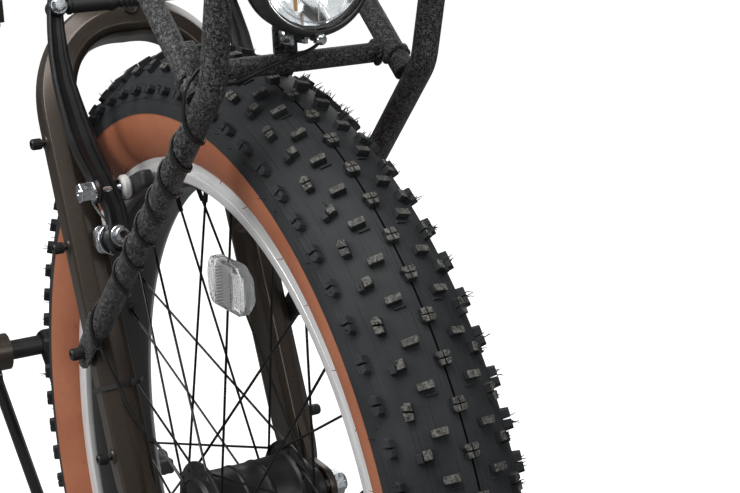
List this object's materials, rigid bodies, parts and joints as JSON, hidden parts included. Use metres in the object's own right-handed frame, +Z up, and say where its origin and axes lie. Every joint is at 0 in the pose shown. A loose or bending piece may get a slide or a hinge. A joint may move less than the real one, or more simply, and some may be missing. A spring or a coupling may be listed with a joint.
{
  "type": "folding bicycle",
  "caption": "Folding fat-tyre bicycle with a sculpted fork, rim brakes, hub dynamo, front rack and headlamp, on a centre stand.",
  "frame": {"origin": "on the ground, midway between the two axles, in the bike's mid-plane", "axes": "+X forward, +Y to the bike's left, +Z up"},
  "size_m": [1.9544, 0.6702, 1.0227],
  "materials": {
    "bronze_paint": "satin metallic",
    "black_rack": "hammered",
    "black_alloy": "black anodised",
    "bright_steel": "polished",
    "chain_steel": "satin",
    "rim": "polished braking track",
    "tyre": "matt, tan sidewall",
    "rubber": "matt",
    "plastic": "matt",
    "lens": "clear",
    "reflector_plastic": "clear ribbed",
    "mirror": "vapour-coated",
    "saddle_cover": "soft leatherette"
  },
  "bodies": {
    "rear_frame": {"rear_frame": "bronze_paint", "frame_hinge_pin": "bright_steel", "seat_clamp": "black_alloy", "rear_axle": "black_alloy", "chain": "chain_steel"},
    "front_frame": {"front_frame": "bronze_paint", "headset_lower": "black_alloy", "headset_upper": "black_alloy"},
    "frame_latch": {"frame_latch_lever": "black_alloy"},
    "fork": {"fork": "bronze_paint", "front_axle": "black_alloy", "dynamo_connector": "plastic", "front_rack": "black_rack", "rack_bolt_right": "black_alloy", "rack_bolt_left": "black_alloy", "headlamp_housing": "black_alloy", "headlamp_lens": "lens", "headlamp_reflector": "mirror", "headlamp_bracket": "bright_steel", "lamp_lead": "rubber", "cable_tie": "plastic", "stem": "black_alloy", "handlebar": "black_alloy", "grip_left": "rubber", "grip_right": "rubber", "lever_bracket_left": "black_alloy", "lever_bracket_right": "black_alloy"},
    "front_wheel": {"front_tyre": "tyre", "front_rim": "rim", "front_hub": "black_alloy", "spoke_reflector": "reflector_plastic"},
    "rear_wheel": {"rear_tyre": "tyre", "rear_rim": "rim", "rear_hub": "black_alloy"},
    "crank": {"bottom_bracket_spindle": "bright_steel", "crank_arm_right": "black_alloy", "crank_arm_left": "black_alloy", "chainring": "black_alloy"},
    "freewheel": {"freewheel": "chain_steel"},
    "pedal_right": {"pedal_right": "plastic"},
    "pedal_left": {"pedal_left": "plastic"},
    "front_brake_left": {"brake_arm_front_left": "black_alloy", "brake_pad_front_left": "rubber", "brake_boot_front": "rubber"},
    "front_brake_right": {"brake_arm_front_right": "black_alloy", "brake_pad_front_right": "rubber"},
    "rear_brake_left": {"brake_arm_rear_left": "black_alloy", "brake_pad_rear_left": "rubber", "brake_boot_rear": "rubber"},
    "rear_brake_right": {"brake_arm_rear_right": "black_alloy", "brake_pad_rear_right": "rubber"},
    "brake_lever_left": {"brake_lever_left": "black_alloy"},
    "brake_lever_right": {"brake_lever_right": "black_alloy"},
    "seatpost": {"seatpost": "black_alloy", "saddle": "saddle_cover", "saddle_rails": "bright_steel"},
    "seat_lever": {"seat_clamp_lever": "black_alloy"},
    "stand": {"centre_stand": "black_rack"}
  },
  "joints": [
    {"name": "main_fold", "type": "hinge", "parent": "rear_frame", "child": "front_frame", "pos_m": [-0.0675, 0.046, 0.7517], "axis": [0, 0, -1], "range_deg": [-155, 0]},
    {"name": "frame_latch", "type": "hinge", "parent": "front_frame", "child": "frame_latch", "pos_m": [-0.0472, -0.041, 0.7517], "axis": [0, 0, 1], "range_deg": [0, 120]},
    {"name": "steering", "type": "hinge", "parent": "front_frame", "child": "fork", "pos_m": [0.41276, 0, 0.78326], "axis": [0.342, 0, -0.9397], "range_deg": [-40, 40]},
    {"name": "front_wheel_spin", "type": "hinge", "parent": "fork", "child": "front_wheel", "pos_m": [0.6075, 0, 0.371], "axis": [0, 1, 0], "continuous": true},
    {"name": "rear_wheel_spin", "type": "hinge", "parent": "rear_frame", "child": "rear_wheel", "pos_m": [-0.6075, 0, 0.371], "axis": [0, 1, 0], "continuous": true},
    {"name": "crank_spin", "type": "hinge", "parent": "rear_frame", "child": "crank", "pos_m": [-0.16742, 0, 0.305], "axis": [0, 1, 0], "continuous": true},
    {"name": "freewheel_spin", "type": "hinge", "parent": "rear_frame", "child": "freewheel", "pos_m": [-0.6075, -0.07, 0.371], "axis": [0, 1, 0], "continuous": true},
    {"name": "pedal_right_spin", "type": "hinge", "parent": "crank", "child": "pedal_right", "pos_m": [-0.25242, -0.105, 0.45222], "axis": [0, 1, 0], "continuous": true},
    {"name": "pedal_left_spin", "type": "hinge", "parent": "crank", "child": "pedal_left", "pos_m": [-0.08242, 0.105, 0.15778], "axis": [0, 1, 0], "continuous": true},
    {"name": "front_brake_lever", "type": "hinge", "parent": "fork", "child": "brake_lever_left", "pos_m": [0.42501, 0.19717, 0.98674], "axis": [0.5089, 0.0689, 0.8581], "range_deg": [0, 14]},
    {"name": "front_brake_arm_left", "type": "hinge", "parent": "fork", "child": "front_brake_left", "pos_m": [0.53635, 0.0631, 0.58986], "axis": [0.9397, 0, 0.342], "range_deg": [0, 1.75], "deforming": ["brake_boot_front"]},
    {"name": "front_brake_arm_right", "type": "hinge", "parent": "fork", "child": "front_brake_right", "pos_m": [0.53635, -0.0631, 0.58986], "axis": [-0.9397, 0, -0.342], "range_deg": [0, 1.75]},
    {"name": "rear_brake_lever", "type": "hinge", "parent": "fork", "child": "brake_lever_right", "pos_m": [0.42501, -0.19717, 0.98674], "axis": [-0.5089, 0.0689, -0.8581], "range_deg": [0, 14]},
    {"name": "rear_brake_arm_left", "type": "hinge", "parent": "rear_frame", "child": "rear_brake_left", "pos_m": [-0.46139, 0.0631, 0.54881], "axis": [-0.7501, 0, 0.6614], "range_deg": [0, 1.75], "deforming": ["brake_boot_rear"]},
    {"name": "rear_brake_arm_right", "type": "hinge", "parent": "rear_frame", "child": "rear_brake_right", "pos_m": [-0.46139, -0.0631, 0.54881], "axis": [0.7501, 0, -0.6614], "range_deg": [0, 1.75]},
    {"name": "seatpost_slide", "type": "slide", "parent": "rear_frame", "child": "seatpost", "axis": [-0.2924, 0, 0.9563], "range_m": [-0.07, 0.07]},
    {"name": "seat_clamp_lever", "type": "hinge", "parent": "rear_frame", "child": "seat_lever", "pos_m": [-0.32794, -0.0256, 0.74452], "axis": [0.2924, 0, -0.9563], "range_deg": [0, 120]},
    {"name": "stand_fold", "type": "hinge", "parent": "rear_frame", "child": "stand", "pos_m": [-0.2135, 0, 0.262], "axis": [0, 1, 0], "range_deg": [0, 70]}
  ],
  "couplings": [
    {"joint": "freewheel_spin", "follows": "crank_spin", "ratio": 2.25},
    {"joint": "front_brake_arm_left", "follows": "front_brake_lever", "ratio": 0.125},
    {"joint": "front_brake_arm_right", "follows": "front_brake_lever", "ratio": 0.125},
    {"joint": "rear_brake_arm_left", "follows": "rear_brake_lever", "ratio": 0.125},
    {"joint": "rear_brake_arm_right", "follows": "rear_brake_lever", "ratio": 0.125}
  ]
}
